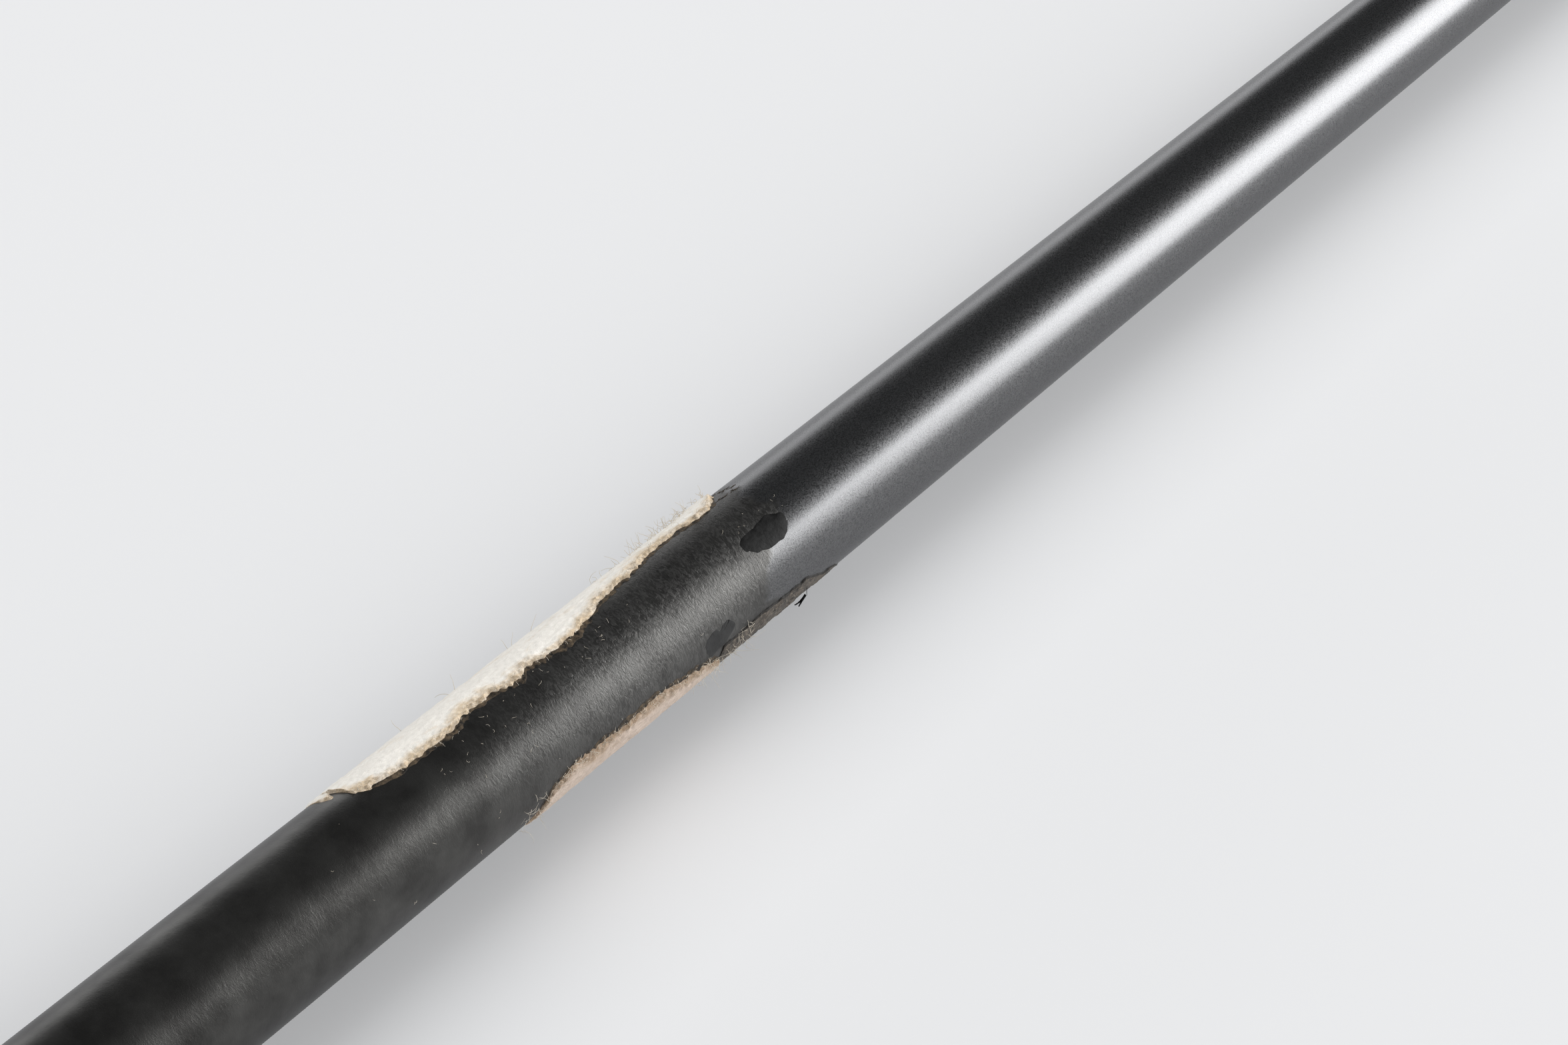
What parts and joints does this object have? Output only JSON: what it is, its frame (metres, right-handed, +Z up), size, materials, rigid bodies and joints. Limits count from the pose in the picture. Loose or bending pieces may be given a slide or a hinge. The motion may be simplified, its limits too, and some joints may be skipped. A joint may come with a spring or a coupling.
{
  "type": "hybrid golf club",
  "caption": "Golf hybrid with a moulded grip, tapered graphite shaft worn by torn label residue, and a hollow steel head on a bonded hosel.",
  "frame": {"origin": "bottom centre of the bounding box of the club as it lies at rest on a floor", "axes": "+X along the shaft from the grip to the head, +Z up from the floor it lies on, +Y to the side that the face looks towards"},
  "size_m": [1.0562, 0.083, 0.0847],
  "materials": {
    "grip_rubber": "matt moulded rubber",
    "cap_rubber": "matt moulded rubber",
    "build_up_tape": "double-sided paper tape",
    "graphite_paint": "satin charcoal paint with fine metallic flake over wound carbon fibre",
    "brass": "turned",
    "epoxy": "cured adhesive",
    "ferrule_plastic": "polished",
    "body_steel": "dark satin coating on cast steel",
    "crown_paint": "gloss black paint",
    "face_steel": "fine blasted steel",
    "bar_steel": "bare steel",
    "tungsten": "sintered",
    "hot_melt": "tacky glue",
    "badge_aluminium": "anodised",
    "badge_tape": "foam tape",
    "old_paper": "torn paper tape",
    "old_adhesive": "dried adhesive with lint"
  },
  "bodies": {
    "root": {"grip_body": "grip_rubber", "grip_end_cap": "cap_rubber", "grip_tape": "build_up_tape", "shaft": "graphite_paint", "tip_weight": "brass", "hosel_epoxy": "epoxy", "ferrule": "ferrule_plastic", "head_body": "body_steel", "crown": "crown_paint", "face_cup": "face_steel", "heel_bar": "bar_steel", "toe_bar": "bar_steel", "internal_weight": "tungsten", "hot_melt_pad": "hot_melt", "sole_badge": "badge_aluminium", "badge_tape": "badge_tape", "label_strip_top": "old_paper", "label_strip_side": "old_paper", "adhesive_film": "old_adhesive", "loose_flake": "old_adhesive"}
  },
  "joints": []
}
